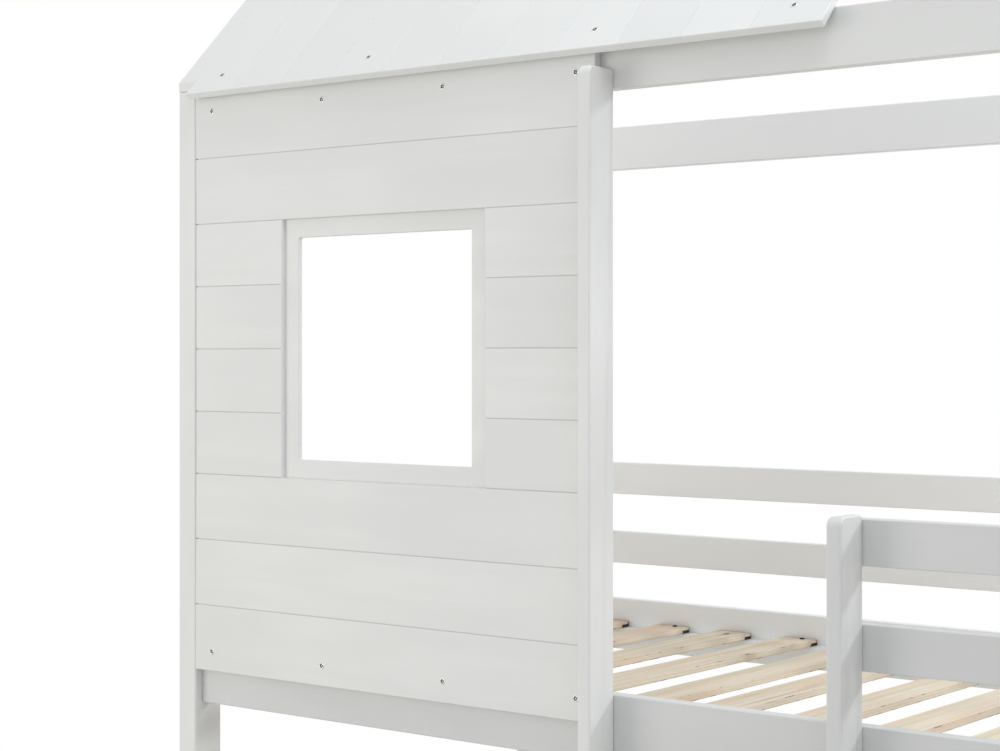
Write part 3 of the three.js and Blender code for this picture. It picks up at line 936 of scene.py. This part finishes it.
def layWall(values):
    low, high = boxOf("wall_panel")
    holeLow, holeHigh = boxOf("window_frame")
    holeLow, holeHigh = holeLow - values["fit"], holeHigh + values["fit"]
    seams = np.concatenate([
        np.linspace(low[2], holeLow[2], values["rowsBelow"] + 1)[1:],
        np.linspace(holeLow[2], holeHigh[2], values["rowsBeside"] + 1)[1:-1],
        np.linspace(holeHigh[2], high[2], values["rowsAbove"] + 1)[:-1],
    ])
    ease = edgeLines(values["edgeRadius"])
    sideRadius, levelRadius = values["holeRadius"]
    sideEase, levelEase = edgeLines(sideRadius), edgeLines(levelRadius)
    across = sortedLines(low[0] + ease, low[0] + np.array([2.5, 4.0, 7.0]) * mm, high[0] - ease,
                         holeLow[0] - sideEase, holeHigh[0] + sideEase,
                         holeLow[0] - values["grooveStop"], holeHigh[0] + values["grooveStop"],
                         np.linspace(low[0], high[0], 12)[1:-1])
    up = sortedLines(low[2] + ease, high[2] - ease, grooveLines(seams, values["grooveHalf"]),
                     holeLow[2] - levelEase, holeHigh[2] + levelEase, np.linspace(low[2], high[2], 30)[1:-1])
    wide, tall = np.meshgrid(across, up)
    border = np.minimum.reduce([wide - low[0], high[0] - wide, tall - low[2], high[2] - tall])
    beside = np.maximum(np.maximum(holeLow[0] - wide, wide - holeHigh[0]), 0)
    beyond = np.maximum(np.maximum(holeLow[2] - tall, tall - holeHigh[2]), 0)
    sideDrop = edgeDrop(beside, sideRadius) * np.clip(1 - beyond / levelRadius, 0, 1)
    levelDrop = edgeDrop(beyond, levelRadius) * np.clip(1 - beside / sideRadius, 0, 1)
    edge = np.maximum(edgeDrop(border, values["edgeRadius"]), np.maximum(sideDrop, levelDrop))
    groove = grooveDrop(tall, seams, values["grooveHalf"], values["grooveDepth"])
    groove = np.where((beside < values["grooveStop"] * 0.9) & (beyond < values["grooveStop"]), 0.0, groove)
    bow = np.interp(tall, values["bowHeights"], values["bowInsets"])
    fromLeft = wide - low[0]
    wide = wide + bow * np.clip(1 - fromLeft / values["bowReach"], 0, 1)
    acrossMiddle, upMiddle = (across[1:] + across[:-1]) / 2, (up[1:] + up[:-1]) / 2
    inHole = ((acrossMiddle > holeLow[0]) & (acrossMiddle < holeHigh[0]))[None, :]
    kept = ~(inHole & ((upMiddle > holeLow[2]) & (upMiddle < holeHigh[2]))[:, None])

    def place(_, tall, depth):
        return np.stack([wide, low[1] + depth, tall], axis=-1)

    shape = sheetShape(across, up, np.maximum(edge, groove), high[1] - low[1] - edge, kept, place)
    # painted shade in the grooves, much darker where they end at the left edge
    nearEnd = np.clip(1 - fromLeft / values["endShadeReach"], 0, 1)
    hollowShade = groove / values["grooveDepth"] * (values["grooveShade"] + values["endShade"] * nearEnd)
    seatSheet("wall_sheet", "wall_panel", shape, wide, tall, seams, edge, values["edgeRadius"], hollowShade)


layWall(wallSet)

# window frame: a bar's section carried round a square, each point of it in from the outer edge by its
# own inset, with corner radius growing from the outside to the clear opening
windowSet = {
    "barWidth": 29.9 * mm,
    "outerRadius": 0.5 * mm,
    "innerRadius": 3 * mm,
    "sectionRadii": [0.15 * mm, 1.6 * mm, 0.8 * mm, 0.4 * mm],
    "arcSteps": 6,
}


def layWindow(values):
    low, high = boxOf("window_frame")
    section = [(0, 0), (values["barWidth"], 0), (values["barWidth"], high[1] - low[1]), (0, high[1] - low[1])]
    centre, radius, direction, arcEase = cornerArcs(section, values["sectionRadii"], 4)
    profile = centre + radius[:, None] * direction
    inset, depth = profile[:, 0][:, None], profile[:, 1][:, None]
    turn = np.linspace(0, np.pi / 2, values["arcSteps"] + 1)
    angle = (np.arange(4)[:, None] * np.pi / 2 + turn[None, :]).ravel()[None, :]
    corner = np.repeat(np.arange(4), values["arcSteps"] + 1)[None, :]
    signX = np.where((corner == 0) | (corner == 3), 1, -1)
    signZ = np.where(corner < 2, 1, -1)
    grow = inset / values["barWidth"]
    cornerRadius = values["outerRadius"] * (1 - grow) + values["innerRadius"] * grow
    halfX, halfZ = (high[0] - low[0]) / 2 - inset, (high[2] - low[2]) / 2 - inset
    x = (low[0] + high[0]) / 2 + signX * (halfX - cornerRadius) + cornerRadius * np.cos(angle)
    z = (low[2] + high[2]) / 2 + signZ * (halfZ - cornerRadius) + cornerRadius * np.sin(angle)
    y = np.broadcast_to(low[1] + depth, x.shape)
    points = np.stack([x, y, z], axis=-1).reshape(-1, 3)
    quads = gridQuads(x.shape[0], x.shape[1], wrapAcross=True, wrapDown=True)[:, ::-1]
    masks = {"easing": np.repeat(arcEase, x.shape[1])}
    mesh = makeMesh("window_surround", points, quads, [], woodSpace(points, "x"), masks)
    seat("window_surround", mesh, paint, "white_paint", "window_frame")


layWindow(windowSet)
print("wall and window made")

# roof sheet: laid up the slope, cut square at the eaves and plumb at the ridge
roofSet = {
    "planks": 11,
    "thickness": 12 * mm,
    "grooveHalf": 1.2 * mm,
    "grooveDepth": 1.1 * mm,
    "grooveShade": 0.15,
    "edgeRadius": 1.5 * mm,
}


# the roof's box, its length up the slope, a function that finds a place on it, and the way off its face
def roofPlace():
    low, high = boxOf("roof_panel")
    slope = np.array([0.0, math.cos(roofPitch), math.sin(roofPitch)])
    off = np.array([0.0, -math.sin(roofPitch), math.cos(roofPitch)])
    length = (high[1] - low[1]) / math.cos(roofPitch)
    foot = np.array([0.0, low[1], high[2] - length * math.sin(roofPitch)])

    def place(wide, tall, depth):
        along = tall * (1 - depth * math.tan(roofPitch) / length)
        return (foot + along[..., None] * slope - depth[..., None] * off
                + np.stack([wide, np.zeros_like(wide), np.zeros_like(wide)], axis=-1))

    return low, high, length, place, off


def layRoof(values):
    low, high, length, place, _ = roofPlace()
    seams = np.linspace(low[0], high[0], values["planks"] + 1)[1:-1]
    ease = edgeLines(values["edgeRadius"])
    across = sortedLines(low[0] + ease, high[0] - ease, grooveLines(seams, values["grooveHalf"]))
    up = sortedLines(ease, length - ease, np.linspace(0, length, 8)[1:-1])
    wide, tall = np.meshgrid(across, up)
    border = np.minimum.reduce([wide - low[0], high[0] - wide, tall, length - tall])
    edge = edgeDrop(border, values["edgeRadius"])
    groove = grooveDrop(wide, seams, values["grooveHalf"], values["grooveDepth"])
    kept = np.ones((len(up) - 1, len(across) - 1), dtype=bool)
    shape = sheetShape(across, up, np.maximum(edge, groove), values["thickness"] - edge, kept, place)
    # painted shade in the grooves
    hollowShade = values["grooveShade"] * groove / values["grooveDepth"]
    seatSheet("roof_sheet", "roof_panel", shape, tall, wide, seams, edge, values["edgeRadius"], hollowShade)


layRoof(roofSet)
print("roof made")

# screw heads: a square grid drawn round into a disc, x = u root(1 - v v / 2) and y = v root(1 - u u / 2),
# domed by height * root(1 - r r), with the driver's cross sunk into the middle
screwSet = {
    "radius": 5.3 * mm, "dome": 1.5 * mm, "foot": 0.4 * mm,
    "armHalf": 0.28, "armLength": 0.7, "sink": 1.2 * mm,
}
darkScrewSet = {
    "radius": 4.8 * mm, "dome": 2.6 * mm, "foot": 1.2 * mm,
    "armHalf": 0.18, "armLength": 0.55, "sink": 1.0 * mm,
}


def screwShape(values):
    arm, reach = values["armHalf"], values["armLength"]
    armLines, reachLines = arm * np.array([0.6, 1, 1.35]), reach * np.array([0.75, 0.92, 1, 1.12])
    half = np.concatenate([armLines, reachLines, [0.8, 0.9, 0.96, 1]])
    lines = sortedLines(-half, 0.0, half)
    u, v = np.meshgrid(lines, lines)
    roundU, roundV = u * np.sqrt(1 - v ** 2 / 2), v * np.sqrt(1 - u ** 2 / 2)
    radius = np.clip(np.hypot(roundU, roundV), 0, 1)
    height = values["dome"] * np.sqrt(np.maximum(1 - radius ** 2, 0)) ** 0.8
    inArm = np.minimum(np.abs(u), np.abs(v)) < arm * 1.01
    taper = np.clip((reach * 1.05 - np.maximum(np.abs(u), np.abs(v))) / (reach * 0.35), 0, 1)
    recess = np.where(inArm, taper, 0.0)
    front = -(height - values["sink"] * recess)

    def place(wide, tall, depth):
        discU, discV = wide * np.sqrt(1 - tall ** 2 / 2), tall * np.sqrt(1 - wide ** 2 / 2)
        return np.stack([values["radius"] * discU, values["radius"] * discV, -depth], axis=-1)

    kept = np.ones((len(lines) - 1, len(lines) - 1), dtype=bool)
    points, quads, used = sheetShape(lines, lines, front, np.full_like(front, values["foot"]), kept, place)
    # painted shade in the driver's recess, half as dark in the middle as a painted reflection of its flat bottom
    shade = np.where(np.maximum(np.abs(u), np.abs(v)) < arm * 0.8, 0.5, recess)  # its flat bottom shines
    hollowShade = np.concatenate([shade.ravel(), np.zeros(shade.size)])
    return points[used], quads, hollowShade[used]


# screws driven into a face: the head's own frame is turned so that it looks along the face's normal
def driveScrews(name, values, centres, normal, material):
    points, quads, hollowShade = screwShape(values)
    normal = np.asarray(normal, float)
    side = np.cross([0.0, 0.0, 1.0], normal) if abs(normal[2]) < 0.95 else np.array([1.0, 0.0, 0.0])
    side /= np.linalg.norm(side)
    rise = np.cross(normal, side)
    twists = boardRandom.uniform(0, np.pi / 2, len(centres))
    cosines, sines = np.cos(twists)[:, None], np.sin(twists)[:, None]
    x = points[None, :, 0] * cosines - points[None, :, 1] * sines
    y = points[None, :, 0] * sines + points[None, :, 1] * cosines
    z = np.broadcast_to(points[None, :, 2], x.shape)
    turned = x[..., None] * side + y[..., None] * rise + z[..., None] * normal
    every = (turned + np.asarray(centres, float)[:, None, :]).reshape(-1, 3)
    everyQuads = repeatQuads(quads, len(points), len(centres))
    mesh = makeMesh(name, every, everyQuads, [], every, {"hollowShade": np.tile(hollowShade, len(centres))})
    seat(name, mesh, material, "screw_steel")


fixingSet = {
    "wallX": [-919 * mm, -669 * mm, -419 * mm, -170 * mm],
    "wallRows": [1783 * mm, 882.5 * mm],
    "roofX": [-900 * mm, -574 * mm, -140 * mm, 185 * mm],
    "roofFoot": 41 * mm,
    "roofTop": 14 * mm,
    "slats": [1, 3, 5, 7, 9, 11, 13],
    "slatEnd": 12 * mm,
    "slatShift": 10 * mm,
}


def driveAll(values):
    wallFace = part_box("wall_panel")[0].y
    wallCentres = [(x, wallFace, z) for z in values["wallRows"] for x in values["wallX"]]
    driveScrews("wall_screws", screwSet, wallCentres, (0, -1, 0), zinc)
    _, _, length, place, off = roofPlace()
    places = [(x, along) for along in (values["roofFoot"], length - values["roofTop"]) for x in values["roofX"]]
    wide, tall = np.array(places).T
    driveScrews("roof_screws", screwSet, place(wide, tall, np.zeros_like(wide)), off, zinc)
    slatCentres = []
    for index in values["slats"]:
        low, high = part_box(f"upper_slat_{index}")
        x = (low.x + high.x) / 2 + values["slatShift"]
        slatCentres += [(x, high.y - values["slatEnd"], high.z), (x, low.y + values["slatEnd"], high.z)]
    driveScrews("slat_screws", darkScrewSet, slatCentres, (0, 0, 1), blackened)


driveAll(fixingSet)
print("screws driven")
